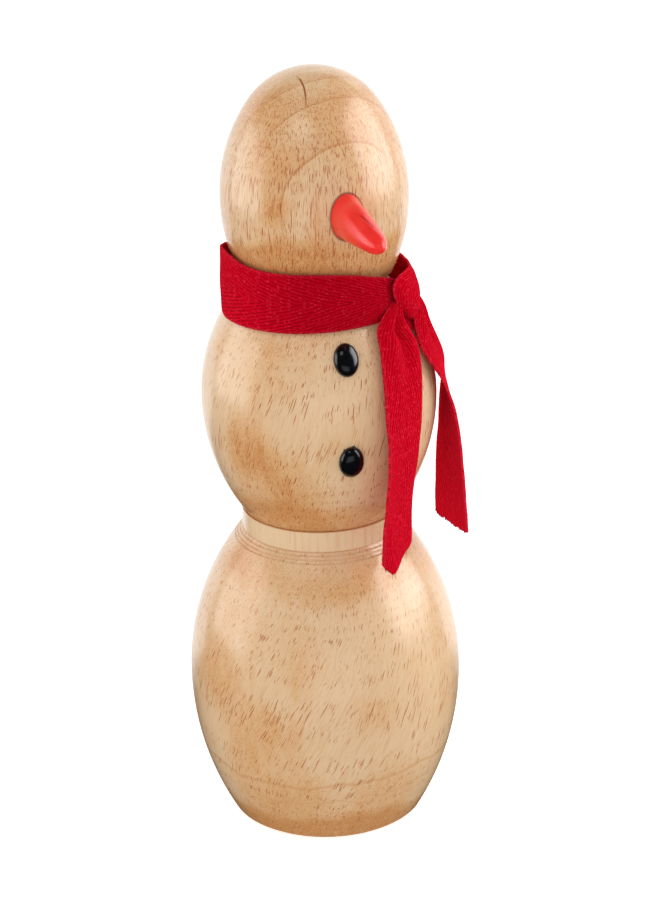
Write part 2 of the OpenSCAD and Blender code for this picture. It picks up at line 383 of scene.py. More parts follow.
def waist_collar(g, w, colour, pores):
    """The pale collar of upright grain, without vessels, and with a dark line along each edge: the join's own
    line with painted shade over it.
    """
    zone = g.times(g.step(w.z, COLLAR_LOW - 0.5, COLLAR_LOW + 0.3),
                   g.step(w.z, COLLAR_TOP + 0.1, COLLAR_TOP - 0.5))
    upright = g.noise(w.p, (0.9, 0.9, 0.04), 3.0, 0.6)
    pale = g.mix(g.times(g.step(upright, 0.45, 0.75), 0.75), COLLAR_PALE, TAN)
    colour = g.mix(g.times(zone, 0.7), colour, pale)
    # a dark line at each edge: the join, with painted shade over it
    for edge in (COLLAR_LOW, COLLAR_TOP):
        shaded_crease = g.step(g.math("ABSOLUTE", g.less(w.z, edge)), 0.40, 0.0)
        colour = g.mix(g.times(shaded_crease, 0.6), colour, LINE)
    return colour, g.times(pores, g.less(1.0, zone))


def crown_crack(g, w, colour):
    """A fine open crack over the crown, bowed, and narrow at both ends."""
    (x0, y0), (x1, y1), half_width, bend = (-6.6, -5.0), (-7.6, -20.0), 0.34, 1.2
    share = g.math("DIVIDE", g.less(w.y, y0), y1 - y0)
    bow = g.times(g.math("SINE", g.times(share, math.pi)), bend)
    path = g.math("ADD", g.plus(x0, share, x1 - x0), bow)
    inside = g.times(g.step(share, 0.0, 0.25), g.step(share, 1.0, 0.6))
    off = g.math("DIVIDE", g.math("ABSOLUTE", g.less(w.x, path)), half_width)
    cut = g.times(g.step(off, 1.3, 0.4), inside, g.step(w.z, 250.0, 252.0))
    return g.mix(g.times(cut, 0.9), colour, CRACK)


def nose_root_shade(g, w, colour):
    """Painted shade: a dark line round the nose's root, where it meets the head."""
    across, along, up = g.as_nose(w.p)
    oval = g.combine(g.math("DIVIDE", across, NOSE_ROOT * NOSE_OVAL), g.math("DIVIDE", up, NOSE_ROOT), 0.0)
    rim = g.times(g.step(g.vector("LENGTH", oval), 1.12, 1.03), g.step(along, 20.0, 10.0))
    return g.mix(g.times(rim, 0.75), colour, NOSE_ROOT_SHADE)


def wood(name, radius, height, lean, seed, pore, long_share, short_share, fibre_tone=0.34, patches=(),
         bands=(), lines=(), smudges=(), head=False, collar=False):
    """Lacquered pale hardwood with short brown vessels along a grain that leans from the vertical.

    radius, height: of the turned body's middle; pore: spacing of the vessels across, into and along the
    wood; long_share, short_share: how many of them are there; patches: darker places (point, size,
    strength), or paler ones, where some darker ones are painted shade and some paler ones painted light;
    bands: darker heights (low, high, strength), where some are painted shade; lines: thin wavy ones (height,
    half width, strength); smudges: glue marks (point, size); head, collar: what only that body has."""
    g = Graph(name)
    w = grain_space(g, radius, height, lean, seed, pore[2])
    pores = vessels(g, w, pore, long_share, short_share)
    dark = darkness(g, w, patches, bands)
    colour = g.mix(g.step(dark, 0.0, 0.72), PALE, TAN)
    colour = g.mix(g.step(dark, 0.60, 1.25), colour, ORANGE)
    streak = g.noise(w.grain, (0.8, 0.3, 0.03), 3.0, 0.6)
    colour = g.mix(g.times(g.step(streak, 0.50, 0.80), 0.40), colour, TAN)
    fibres = g.times(g.noise(w.grain, (3.0, 0.9, 0.16), 2.0, 0.6), g.less(1.0, w.crown))
    colour = g.mix(g.times(g.step(fibres, 0.40, 0.78), fibre_tone), colour, ORANGE)
    for level, half_width, strength in lines:
        off = g.math("ABSOLUTE", g.less(g.sway(w.z, w.cloud, 14.0), level))
        colour = g.mix(g.times(g.step(off, half_width, 0.0), strength), colour, ORANGE)
    if head:
        colour = growth_rings(g, w, colour)
    if collar:
        colour, pores = waist_collar(g, w, colour, pores)
    away, _, kept = g.cells(w.shifted, (0.46, 0.46, 1.2))
    specks = g.times(g.step(away, 0.42, 0.20), g.step(kept, 0.35, 0.55))
    specks = g.times(specks, g.plus(g.times(g.step(dark, 0.15, 0.7), 0.55), w.ends, 0.5))
    colour = g.mix(specks, colour, SPECK)
    colour = g.mix(g.times(pores, 0.92), colour, PORE)
    if head:
        colour = nose_root_shade(g, w, crown_crack(g, w, colour))
    for point, size in smudges:
        near = g.sway(g.vector("DISTANCE", w.p, point), g.noise(w.p, 0.8, 2.0, 0.6), 2.2 * size)
        colour = g.mix(g.times(g.step(near, size, 0.5 * size), 0.8), colour, SMUDGE)
    relief = g.plus(g.less(1.0, g.times(pores, 0.2)), w.mottle, 0.35)
    return g.set(color=colour, rough=0.45, specular=0.15, normal=g.bump(relief, 0.00008, 0.25), coat=0.9,
                 coat_rough=0.13, coat_ior=1.5)


def herringbone(name):
    """Red cotton twill tape. The UV map holds millimetres across and along the tape."""
    # the first colour is painted shade, for the tape under the knot
    knot_shade, deep, mid = (0.16, 0.0003, 0.0030), (0.43, 0.0005, 0.0066), (0.71, 0.0014, 0.0180)
    lit, pale = (0.90, 0.0110, 0.0460), (0.98, 0.0600, 0.1150)
    g = Graph(name)
    uv = g.tree.nodes.new("ShaderNodeUVMap")
    uv.uv_map = "tape"
    u, v, _ = g.split(uv.outputs[0])
    flat = g.combine(u, v, 0.0)
    side = g.math("ABSOLUTE", u)
    # ribs that run to the middle line from both sides, each a row of short slanting floats
    lean = math.radians(15)
    run = g.less(g.times(side, math.cos(lean)), g.times(v, math.sin(lean)))
    run = g.sway(run, g.noise(flat, (0.5, 0.5, 1.0)), 0.7)
    rib = g.plus(0.5, g.math("SINE", g.times(run, 2 * math.pi / RIB_PITCH)), 0.5)
    away, _, kept = g.cells(g.combine(run, v, 0.0), (RIB_PITCH / 2, 1.25, 1.0))
    shining = g.times(g.step(away, 0.50, 0.15), g.step(kept, 0.15, 0.85))
    weave = g.math("ADD", g.times(rib, 0.62), g.times(g.step(away, 0.62, 0.12), 0.38))
    fuzz = g.noise(flat, (2.4, 2.4, 1.0), 3.0, 0.7)
    slub = g.noise(flat, (0.16, 0.09, 1.0), 3.0, 0.6)
    lift = g.sway(weave, fuzz, 0.9)
    colour = g.mix(g.step(lift, 0.05, 0.70), deep, mid)
    colour = g.mix(g.times(g.step(lift, 0.70, 1.15), 0.75), colour, lit)
    colour = g.mix(g.times(g.step(slub, 0.35, 0.75), 0.22), colour, deep)
    # painted shade at the turn's beginning, which is under the knot, and painted light on the rear tail
    colour = g.mix(g.times(g.step(v, 10.5, 6.0), 0.75), colour, knot_shade)
    colour = g.mix(g.times(g.step(v, REAR_TAIL_FROM + 25.0, REAR_TAIL_FROM + 45.0), 0.30), colour, lit)
    # painted sheen on the fuzzy selvedges, and painted glints on some floats
    edge = g.step(side, TAPE_HALF - 1.1, TAPE_HALF - 0.2)
    colour = g.mix(g.times(edge, g.step(fuzz, 0.45, 0.65), 0.6), colour, pale)
    colour = g.mix(g.times(shining, g.step(fuzz, 0.35, 0.6), 0.45), colour, pale)
    # painted shade: the part of the turn that crosses the figure's front is a little darker
    shade = g.plus(1.0, g.step(v, 66.0, 34.0), -0.24)
    colour = g.vector("MULTIPLY", colour, g.combine(shade, shade, shade))
    normal = g.bump(g.plus(weave, fuzz, 0.45), 0.00030, 0.8)
    return g.set(color=colour, rough=0.9, specular=0.0, normal=normal, sheen=0.12, sheen_rough=0.5,
                 sheen_tint=(1.0, 0.10, 0.16))


def nose_paint():
    """Glossy red paint, with a shallow groove along the top towards the tip, darkened with painted shade."""
    g = Graph("nose_paint")
    p = g.place()
    across, along, up = g.as_nose(p)
    out = g.times(along, -1.0)
    around = g.less(g.math("ARCTAN2", across, up), g.times(g.less(out, 17.6), 0.041))
    shaded_crease = g.step(g.math("ABSOLUTE", around), 0.11, 0.01)
    shaded_crease = g.times(shaded_crease, g.step(out, 11.0, 15.5), g.step(out, 25.5, 21.0))
    wobble = g.noise(p, 0.12)
    grain = g.noise(p, (1.4, 0.12, 1.4))
    colour = g.mix(g.step(wobble, 0.3, 0.7), (0.97, 0.026, 0.019), (1.00, 0.042, 0.031))
    colour = g.mix(g.times(g.step(grain, 0.45, 0.8), 0.18), colour, (0.68, 0.008, 0.007))
    # the dark line along the groove is painted shade
    colour = g.mix(g.times(shaded_crease, 0.75), colour, (0.45, 0.004, 0.004))
    relief = g.plus(g.plus(wobble, grain, 0.3), shaded_crease, -1.2)
    return g.set(color=colour, rough=0.4, specular=0.1, normal=g.bump(relief, 0.0003, 0.3), coat=0.65,
                 coat_rough=0.13)


def button_gloss():
    g = Graph("button_gloss")
    p = g.place()
    dust = g.noise(p, 1.8, 3.0, 0.65)
    swirl = g.noise(p, 0.25)
    colour = g.mix(g.step(dust, 0.55, 0.85), (0.0030, 0.0035, 0.005), (0.010, 0.011, 0.015))
    return g.set(color=colour, rough=g.plus(0.2, dust, 0.2), specular=0.1, normal=g.bump(swirl, 0.0001, 0.12),
                 coat=1.0, coat_rough=0.05)


def dowel_beech():
    g = Graph("dowel_beech")
    flecks = g.noise(g.place(), (2.2, 2.2, 0.12), 3.0)
    colour = g.mix(g.step(flecks, 0.35, 0.7), (0.62, 0.43, 0.25), (0.48, 0.30, 0.15))
    return g.set(color=colour, rough=0.6, normal=g.bump(flecks, 0.00005, 0.4))


# ---------------------------------------------------------------- turned bodies, nose, buttons

beech = dowel_beech()
NODE_MATERIALS = {
    "head_body": wood(
        "head_wood", HEAD_R, HEAD_Z, lean=(0.0, 0.05, -60), seed=1.0, pore=(0.52, 1.5, 9.0), long_share=0.90,
        short_share=0.72, fibre_tone=0.55,
        patches=[((-15, -9, 260), 12, 0.35), ((-22, -18, 246), 12, 0.4), ((-20, -24, 229), 8, 0.6),
                 ((16, -8, 263), 8, 0.25)],
        bands=[(188, 220, 0.72)], head=True),
    "torso_body": wood(
        "torso_wood", TORSO_R, TORSO_Z, lean=(0.04, 0.32, -60), seed=2.0, pore=(0.56, 1.6, 11.0),
        long_share=0.50, short_share=0.22,
        # the two paler patches between the tails are painted light against their shade, and the band over the
        # torso's lowest part is painted shade above the waist
        patches=[((-32, -24, 150), 16, 0.85), ((-26, -30, 139), 19, 0.7), ((-14, -28, 126), 20, 0.7),
                 ((-36, -8, 178), 12, 0.3), ((24, -22, 128), 14, 0.2), ((33, -24, 166), 16, -0.6),
                 ((32, -25, 146), 14, -0.6)],
        bands=[(106, 131, 0.5)], smudges=[((-2.6, -39.6, 149.7), 0.8), ((0.6, -39.8, 150.4), 0.9)]),
    "base_body": wood(
        "base_wood", BASE_R, BASE_Z, lean=(0.10, 0.40, -25), seed=3.0, pore=(0.56, 1.6, 7.5), long_share=0.38,
        short_share=0.17, fibre_tone=0.45,
        # the patch on the left just under the collar and the band just under the collar are painted shade
        # under the torso
        patches=[((-40, -16, 62), 19, 0.65), ((-30, -28, 44), 22, 0.50), ((-20, -26, 14), 28, 0.60),
                 ((10, -36, 22), 22, 0.4), ((-4, -34, 96), 14, 0.2), ((-30, -8, 101), 12, 0.6),
                 ((4, -46, 52), 14, 0.25)],
        bands=[(-8, 13, 0.75), (94, 107, 0.25)], lines=[(26.0, 1.1, 0.5), (18.5, 0.8, 0.3)], collar=True),
    "waist_dowel": beech,
    "neck_dowel": beech,
}
for node, material in NODE_MATERIALS.items():
    wear(NODES[node], material)


def nose_piece():
    """The peg nose: an oval flare against the head, a straight taper and a rounded tip."""
    length, neck, tip, flare, round_from = 31.0, 6.82, 3.2, 6.5, 24.0
    sunk, proud, clearance = 1.6, 0.12, 0.22   # the root's edge against the head's surface
    body_rings, tip_rings, sides = 60, 24, 96
    ang = np.linspace(0, 2 * math.pi, sides, endpoint=False)
    turned, drooped = (Matrix.Rotation(math.radians(angle), 3, axis)
                       for angle, axis in ((NOSE_TURN, "Z"), (NOSE_DROOP, "X")))
    axes = np.array(turned @ drooped)
    origin = np.array(NOSE_ORIGIN)

    def half_height(s):
        if s < flare:
            return neck + (NOSE_ROOT - neck) * max(0.0, 1 - max(s, 0) / flare) ** 2.2
        taper = neck + (tip - neck) * (s - flare) / (length - tip - flare)
        return taper * math.sqrt(max(0.0, 1 - (max(0.0, s - round_from) / (length - round_from)) ** 2.5))

    def oval(s):
        k = min(1.0, max(0.0, s / (0.8 * length)))
        return NOSE_OVAL + (1 - NOSE_OVAL) * k * k * (3 - 2 * k)

    rounding = np.sin(np.linspace(0, math.pi / 2, tip_rings))
    stations = np.concatenate([np.linspace(0, round_from, body_rings, endpoint=False),
                               round_from + (length - round_from) * rounding])
    points = []
    for k, s in enumerate([-1.0, *stations[:-1]]):
        h = half_height(s)
        local = np.stack([h * oval(s) * np.sin(ang), -np.full(sides, s), h * np.cos(ang)], 1)
        world = local @ axes.T + origin
        if k <= 1:  # the first two rings lie just under and on the head's surface
            for w in world:
                out = w[:2] / np.linalg.norm(w[:2])
                w[:2] = out * (float(head_radius(w[2])) + (-sunk if k == 0 else proud))
        else:
            radial = np.hypot(world[:, 0], world[:, 1])
            need = head_radius(world[:, 2]) + proud + clearance * min(k, 12)
            push = np.maximum(0, need - radial)[:, None] * np.clip(1 - s / 4.0, 0, 1)
            world[:, :2] += world[:, :2] / radial[:, None] * push
        points.extend(world)
    points.append(np.array([0, -stations[-1], 0]) @ axes.T + origin)
    o = mesh_piece("nose_peg", points, tapered_faces(len(stations), sides))
    wear(o, nose_paint())
    return o


def button_piece(name, z, seat, material):
    """An oval cabochon button, a little flattened on top, that reaches seat into the torso."""
    half_width, half_height, rise, rings, sides = 4.3, 5.7, 3.2, 40, 96
    tilt = math.asin((z - TORSO_Z) / (TORSO_UP_ARC if z > TORSO_Z else TORSO_LOW_ARC))
    axes = np.array(Matrix.Rotation(-tilt, 3, "X"))
    origin = np.array([0, -float(torso_radius(z)), z])
    ang = np.linspace(0, 2 * math.pi, sides, endpoint=False)
    profile = [(0.93, seat)]
    for a in (math.pi / 2 * k / rings for k in range(rings)):
        profile.append((math.cos(a) ** 0.86, -rise * math.sin(a) ** 0.9))
    points = []
    for scale, y in profile:
        local = [half_width * scale * np.sin(ang), np.full(sides, y), half_height * scale * np.cos(ang)]
        points.extend(np.stack(local, 1) @ axes.T + origin)
    points.append(np.array([0, -rise, 0]) @ axes.T + origin)
    o = mesh_piece(name, points, tapered_faces(len(profile), sides))
    wear(o, material)
    return o


nose = nose_piece()
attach(nose, "figure")
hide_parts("nose")
gloss = button_gloss()
for which, z, seat in (("upper", 179.5, 1.1), ("lower", 145.0, 0.9)):
    button = button_piece(f"oval_button_{which}", z, seat, gloss)
    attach(button, "figure")
    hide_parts(f"button_{which}")


# ---------------------------------------------------------------- the scarf

def path_lengths(points):
    """How far each point lies along the path through them."""
    return np.concatenate([[0], np.cumsum(np.linalg.norm(np.diff(points, axis=0), axis=1))])


def strip(name, rows, along0, ruffle, seed, end=None):
    """The tape through rows of control points across it, left to right, with its thickness.

    The UV map "tape" gets millimetres: across from -10 to 10, and along from along0. end(s) gives how far
    the cut end is drawn back along the tape, for s from -1 to 1 across it."""
    spacing, across = 0.55, 40
    net = np.asarray(rows, float)
    knots = path_lengths(net.mean(1))
    count = max(8, int(knots[-1] / spacing))
    lines = spline(knots, net, np.linspace(0, knots[-1], count))
    s = np.linspace(-1, 1, across)
    surface = spline(np.linspace(-1, 1, net.shape[1]), lines.transpose(1, 0, 2), s).transpose(1, 0, 2)
    along = path_lengths(surface.mean(1))
    v = np.repeat(along[:, None], across, 1)
    if end is not None:
        back = np.array([end(x) for x in s])
        v = v * (along[-1] - back[None, :]) / along[-1]
        drawn = np.empty_like(surface)
        for j in range(across):
            for axis in range(3):
                drawn[:, j, axis] = np.interp(v[:, j], along, surface[:, j, axis])
        surface = drawn
    side = np.gradient(surface, axis=1)
    normal = np.cross(np.gradient(surface, axis=0), side)
    normal /= np.linalg.norm(normal, axis=2, keepdims=True) + 1e-12
    for i in range(count):
        for j in range(across):
            q = Vector((s[j] * 1.1 + seed, v[i, j] * 0.09 + along0 * 0.09, seed * 3.1))
            surface[i, j] += normal[i, j] * noise.noise(q * 1.7) * ruffle
            if abs(s[j]) > 0.94:  # the selvedge isn't straight
                jog = noise.noise(Vector((v[i, j] * 1.3, seed * 5.0 + np.sign(s[j]), 2.0)))
                surface[i, j] += side[i, j] / (np.linalg.norm(side[i, j]) + 1e-9) * np.sign(s[j]) * jog * 0.22
    faces = [(i * across + j, (i + 1) * across + j, (i + 1) * across + j + 1, i * across + j + 1)
             for i in range(count - 1) for j in range(across - 1)]
    o = mesh_piece(name, surface.reshape(-1, 3), faces)
    uv = np.stack([np.repeat(s[None, :] * TAPE_HALF, count, 0), v + along0], 2).reshape(-1, 2)
    loops = np.zeros(len(o.data.loops), np.int32)
    o.data.loops.foreach_get("vertex_index", loops)
    o.data.uv_layers.new(name="tape").data.foreach_set("uv", uv[loops].astype(np.float32).ravel())
    return thicken(o)


def thicken(o):
    """Gives a sheet the tape's thickness, half to each side."""
    solid = o.modifiers.new("thickness", "SOLIDIFY")
    solid.thickness, solid.offset, solid.use_even_offset = TAPE_T * MM, 0.0, False
    flat = o.data
    whole = bpy.data.meshes.new_from_object(o.evaluated_get(bpy.context.evaluated_depsgraph_get()))
    o.modifiers.clear()
    o.data = whole
    bpy.data.meshes.remove(flat)
    return o


def bow_row(left, right, bulge):
    """Control points between two edge points given as (turn, r, z), bulging outwards by bulge."""
    out = []
    for f in np.linspace(0, 1, ROW_POINTS):
        turn, r, z = (left[i] + (right[i] - left[i]) * f for i in range(3))
        out.append(polar(turn, r + bulge * math.sin(math.pi * f) ** 0.8, z))
    return out


def face_row(z, turn, r, face, width, lift, tilt=0.0):
    """Control points of a flat row: its middle, the turn it faces, its width, and how far each point
    stands off; tilt leans the row so that its right side is higher."""
    a = math.radians(face)
    side, out = np.array([math.cos(a), math.sin(a), 0]), np.array([math.sin(a), -math.cos(a), 0])
    middle = polar(turn, r, z)
    return [middle + side * width / 2 * x + out * n + np.array([0, 0, tilt * x / 2])
            for x, n in zip(np.linspace(-1, 1, ROW_POINTS), lift)]


def band_rows():
    """Rows of the turn, from under the knot round the neck and over the knot.

    Each key is (upper edge, lower edge, bulge), with an edge as (turn, r, z)."""
    keys = [
        ((47, 32.2, 201.0), (45, 32.9, 191.4), 0.2),
        ((40, 32.2, 202.2), (38, 33.2, 190.4), 0.2),
        ((31, 31.8, 203.8), (30, 33.0, 189.7), 0.3),
        ((20, 31.3, 205.4), (20, 32.6, 189.3), 0.4),
        ((6, 30.7, 207.0), (6, 32.2, 189.0), 0.5),
        ((-14, 30.4, 207.8), (-14, 32.0, 188.4), 0.6),
        ((-38, 30.4, 207.8), (-38, 31.9, 187.9), 0.7),
        ((-64, 30.6, 208.2), (-64, 31.9, 187.4), 0.7),
        ((-82, 31.1, 209.6), (-82, 31.9, 187.0), 0.5),
        ((-97, 31.6, 209.8), (-97, 31.9, 187.0), 0.3),
        ((-114, 31.5, 208.0), (-114, 31.9, 187.0), 0.5),
        ((-142, 31.0, 206.0), (-142, 32.1, 186.8), 0.8),
        ((-180, 30.8, 204.8), (-180, 32.3, 186.6), 1.0),
        ((-215, 31.0, 203.6), (-215, 32.4, 186.5), 1.1),
        ((-245, 31.0, 201.8), (-245, 32.6, 186.6), 1.2),
        ((-266, 30.9, 200.8), (-266, 32.8, 186.8), 1.2),
        ((-284, 31.1, 201.4), (-283, 33.2, 187.6), 1.2),
        ((-297, 31.9, 202.6), (-292, 34.2, 189.2), 1.4),
        ((-310, 32.6, 203.4), (-297, 34.9, 190.8), 1.6),
        ((-321, 33.2, 203.0), (-299.5, 35.4, 191.6), 1.8),
        ((-326.5, 33.8, 200.6), (-300, 35.3, 190.9), 2.0),
        ((-326, 34.1, 196.4), (-300.5, 35.1, 189.6), 2.2),
        ((-321.5, 34.1, 192.2), (-302.5, 34.8, 187.9), 1.9),
        ((-315.5, 33.8, 188.9), (-305.5, 34.2, 185.9), 1.4),
        ((-312, 32.4, 188.0), (-308, 32.6, 186.4), 0.4),
    ]
    table = np.array([[*upper, *lower, bulge] for upper, lower, bulge in keys])
    steps = len(keys) - 1
    fine = spline(np.arange(len(keys)), table, np.linspace(0, steps, 4 * steps + 1))
    return [bow_row(k[:3], k[3:6], k[6]) for k in fine]


# The two tails, each from under the knot to a little past its cut end: height, turn and distance of the
# row's middle, the turn it faces, its width, and the folds across it
FRONT_ROWS = [
    face_row(195.0, 39, 33.0, 38, 5, (0, 0.2, 0.4, 0.4, 0.4, 0.2, 0)),
    face_row(192.0, 32.5, 35.0, 33, 8.5, (-1.2, 0.5, 1.1, 0.4, -0.6, 0.1, -1.0)),
    face_row(187.8, 28.4, 36.5, 30, 12.0, (-1.7, 0.8, 1.7, -0.4, -1.7, 0.6, -0.4)),
    face_row(183.0, 29.8, 37.7, 31, 15.6, (-1.5, 0.6, 1.5, -0.3, -1.4, 0.7, 0.1), tilt=-2),
    face_row(177.0, 29.4, 39.4, 32.5, 17.5, (-0.9, 0.3, 1.0, 0, -0.8, 0.5, 0.3), tilt=-1),
    face_row(170.0, 27.9, 41.2, 35, 18.8, (-0.4, 0.2, 0.5, 0, -0.3, 0.3, 0.2)),
    face_row(160.0, 26.2, 43.0, 38.5, 20, (-0.2, 0, 0.3, 0.3, 0.1, 0, 0)),
    face_row(150.0, 25.0, 43.8, 41.5, 20, (0.3, 0, -0.1, 0, 0.2, 0.1, -0.2)),
    face_row(140.0, 23.8, 43.8, 43.5, 20, (0.5, 0.1, -0.2, -0.1, 0.2, 0.2, -0.3)),
    face_row(128.0, 22.2, 43.2, 45.5, 19.6, (0.2, 0.1, 0, 0, 0.1, 0.1, -0.2)),
    face_row(117.0, 21.5, 42.9, 46, 19, (-0.5, 0.1, 0.3, 0.2, 0, 0, 0)),
    face_row(103.5, 21.5, 42.9, 47, 18, (-1.6, -0.3, 0.5, 0.4, 0.1, 0.1, 0.2)),
]
REAR_ROWS = [
    face_row(195.0, 54, 33.0, 54, 5, (0, 0.2, 0.3, 0.3, 0.3, 0.2, 0)),
    face_row(192.0, 58.5, 34.9, 59, 8, (-1.0, 0.2, 0.6, 0.8, 0.6, 0, -0.8)),
    face_row(188.0, 60.2, 36.2, 60, 10.4, (-1.8, 0.2, 0.9, 0.2, -0.7, 0.3, -0.6)),
    face_row(183.0, 59.9, 37.4, 60, 13.0, (-1.8, 0, 0.9, 0.2, -0.8, 0.2, -0.3)),
    face_row(177.0, 60.3, 39.0, 60, 15.8, (-1.0, 0.2, 0.6, 0.1, -0.5, 0.2, 0.1)),
    face_row(170.0, 65.3, 41.0, 66, 19, (-0.2, 0.2, 0.3, 0, -0.2, 0.1, 0.1)),
    face_row(162.0, 71.0, 43.0, 74, 20, (0, 0.1, 0.1, 0, 0, 0, 0)),
    face_row(152.0, 73.5, 44.2, 86, 20, (0, 0, 0, 0, 0.1, 0.1, 0)),
    face_row(142.0, 74.5, 44.8, 93, 20, (-0.2, 0, 0.1, 0.2, 0.1, 0, -0.1)),
    face_row(130.0, 75.0, 45.1, 98.5, 20, (-0.3, 0, 0.2, 0.2, 0.1, 0, -0.2)),
    face_row(118.0, 75.0, 45.2, 103, 20, (-0.2, 0, 0.1, 0.1, 0, 0, -0.1)),
    face_row(104.0, 75.0, 45.2, 106, 20, (0.2, 0, -0.1, 0, 0.1, 0.1, 0.3)),
]


def cut_front(s):
    """How far the front tail's ragged end is drawn back, for s from -1 to 1 across it."""
    shape = np.interp(s, [-1, -0.85, -0.52, -0.2, 0.28, 0.45, 0.84, 1.0],
                      [5.0, 3.2, 0.0, 1.2, 4.0, 4.2, 5.4, 7.0])
    return shape + 0.5 * abs(noise.noise(Vector((s * 9.0, 3.0, 1.0))))


def cut_rear(s):
    """The same for the rear tail, whose end is cut straighter and frayed more."""
    shape = np.interp(s, [-1, -0.85, 0.8, 1.0], [1.2, 0.7, 1.5, 2.3])
    return shape + 1.8 * abs(noise.noise(Vector((s * 12.0, 7.0, 4.0))))


def fray(name, rows, cut, seed):
    """Loose yarn ends standing out of a tail's cut edge."""
    count, joints, sides = 26, 5, 6
    rng = np.random.default_rng(seed)
    net = np.asarray(rows, float)
    last, before = net[-1], net[-2]
    down = (last - before) / np.linalg.norm(last - before, axis=1, keepdims=True)
    points, faces = [], []
    for _ in range(count):
        s = rng.uniform(-0.98, 0.98)
        at = spline(np.linspace(-1, 1, ROW_POINTS), last, [s])[0]
        way = spline(np.linspace(-1, 1, ROW_POINTS), down, [s])[0]
        start = at - way * (cut(s) + 0.7)   # a little inside the tape
        bend = rng.normal(0, 0.55, 3)
        length = rng.uniform(0.9, 2.3)
        thick = rng.uniform(0.10, 0.17)
        spine = [start + way * length * f + bend * f * f * length * 0.5
                 for f in np.linspace(0, 1, joints + 1)]
        base = len(points)
        for k, centre in enumerate(spine):
            r = thick * (1 - 0.55 * k / joints)
            for q in (2 * math.pi * a / sides for a in range(sides)):
                points.append(centre + r * np.array([math.cos(q), math.sin(q), 0.3 * math.sin(q)]))
        for k in range(joints):
            low, high = base + sides * k, base + sides * (k + 1)
            for a in range(sides):
                b = (a + 1) % sides
                faces.append((low + a, low + b, high + b, high + a))
        faces.append(tuple(base + a for a in reversed(range(sides))))
        faces.append(tuple(base + sides * joints + a for a in range(sides)))
    o = mesh_piece(name, points, faces)
    # the yarn ends take the tape's colour at its edge near its start, with the painted shade under the knot
    # and across the front
    at_the_edge = np.tile([9.5, 0.4], len(o.data.loops)).astype(np.float32)
    o.data.uv_layers.new(name="tape").data.foreach_set("uv", at_the_edge)
    return o


def core_rows():
    """Rows of the turn inside the knot, which shows only as a dark fold between the others."""
    rows = []
    for f in np.linspace(0, 1, 12):
        z = 201.5 - 18.5 * f
        r = max(32.9, float(torso_radius(z)) + 1.5)
        left = np.interp(f, [0, 0.3, 0.7, 1], [46, 40.5, 42, 46])
        right = np.interp(f, [0, 0.3, 0.7, 1], [50, 57.5, 58.5, 55])
        bulge = np.interp(f, [0, 0.3, 0.6, 1], [0.2, 1.6, 0.6, 0.1])
        rows.append(bow_row((left, r, z), (right, r, z - 0.5), bulge))
    return rows


band = strip("scarf_band", band_rows(), 0.0, ruffle=0.22, seed=1.0)
front = strip("scarf_front_tail", FRONT_ROWS, FRONT_TAIL_FROM, ruffle=0.20, seed=4.0, end=cut_front)
rear = strip("scarf_rear_tail", REAR_ROWS, REAR_TAIL_FROM, ruffle=0.20, seed=8.0, end=cut_rear)
front_fray = fray("scarf_front_fray", FRONT_ROWS, cut_front, seed=11)
rear_fray = fray("scarf_rear_fray", REAR_ROWS, cut_rear, seed=12)
core = strip("scarf_knot_core", core_rows(), CORE_FROM, ruffle=0.1, seed=13.0)
tape = herringbone("scarf_tape")
for o in (band, front, rear, front_fray, rear_fray, core):
    wear(o, tape)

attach(band, "scarf")
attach(core, "scarf")
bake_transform(front)
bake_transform(rear)
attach(front_fray, "tail_front")
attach(rear_fray, "tail_rear")
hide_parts("scarf_wrap", "scarf_knot")
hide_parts("scarf_tail_front")
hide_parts("scarf_tail_rear")


# ---------------------------------------------------------------- floor, light, camera

def backdrop():
    """A plain pale floor that curves up into a round wall, in metres."""
    flat_to, curve, rim = 1.8, 0.8, 5.0
    profile = [(r, 0.0) for r in (0.6, 1.2, flat_to)]
    profile += [(flat_to + curve * math.sin(a), curve - curve * math.cos(a))
                for a in np.linspace(0.1, math.pi / 2, 14)]
    profile += [(flat_to + curve, 2.6), (flat_to + curve, rim)]
    turns = np.linspace(0, 2 * math.pi, 72, endpoint=False)
    bm = bmesh.new()
    middle = bm.verts.new((0, 0, FLOOR_Z))
    rings = [[bm.verts.new((r * math.cos(t), r * math.sin(t), z + FLOOR_Z)) for t in turns]
             for r, z in profile]
    for k in range(len(turns)):
        after = (k + 1) % len(turns)
        bm.faces.new((middle, rings[0][k], rings[0][after]))
        for inner, outer in zip(rings, rings[1:]):
            bm.faces.new((inner[k], outer[k], outer[after], inner[after])).smooth = True
    me = bpy.data.meshes.new("backdrop")
    bm.to_mesh(me)
    bm.free()
    o = bpy.data.objects.new("backdrop", me)
    bpy.context.scene.collection.objects.link(o)
    g = Graph("backdrop_white")
    tint = g.noise(g.place(), 0.004)
    colour = g.mix(g.step(tint, 0.3, 0.7), (0.93, 0.93, 0.93), (0.95, 0.95, 0.95))
    wear(o, g.set(color=colour, rough=0.9, specular=0.0, glow=(1.0, 1.0, 1.0), glow_strength=0.60))
    o.visible_diffuse = o.visible_glossy = o.visible_shadow = False


def area_light(name, turn, elevation, distance, radiance, width, height=None):
    """An area light that looks at the figure's middle: a disk, or a rectangle where it has a height too."""
    light = bpy.data.lights.new(name, "AREA")
    light.size = width
    if height is None:
        light.shape, light.energy = "DISK", radiance * math.pi * math.pi / 4 * width * width
    else:
        light.shape, light.energy, light.size_y = "RECTANGLE", radiance * math.pi * width * height, height
    o = bpy.data.objects.new(name, light)
    back = outward(turn, elevation)
    o.location = Vector((0, 0, 0.14)) + back * distance
    o.rotation_mode = "QUATERNION"
    o.rotation_quaternion = back.to_track_quat("Z", "Y")
    o.visible_camera = False
    bpy.context.scene.collection.objects.link(o)
    return o


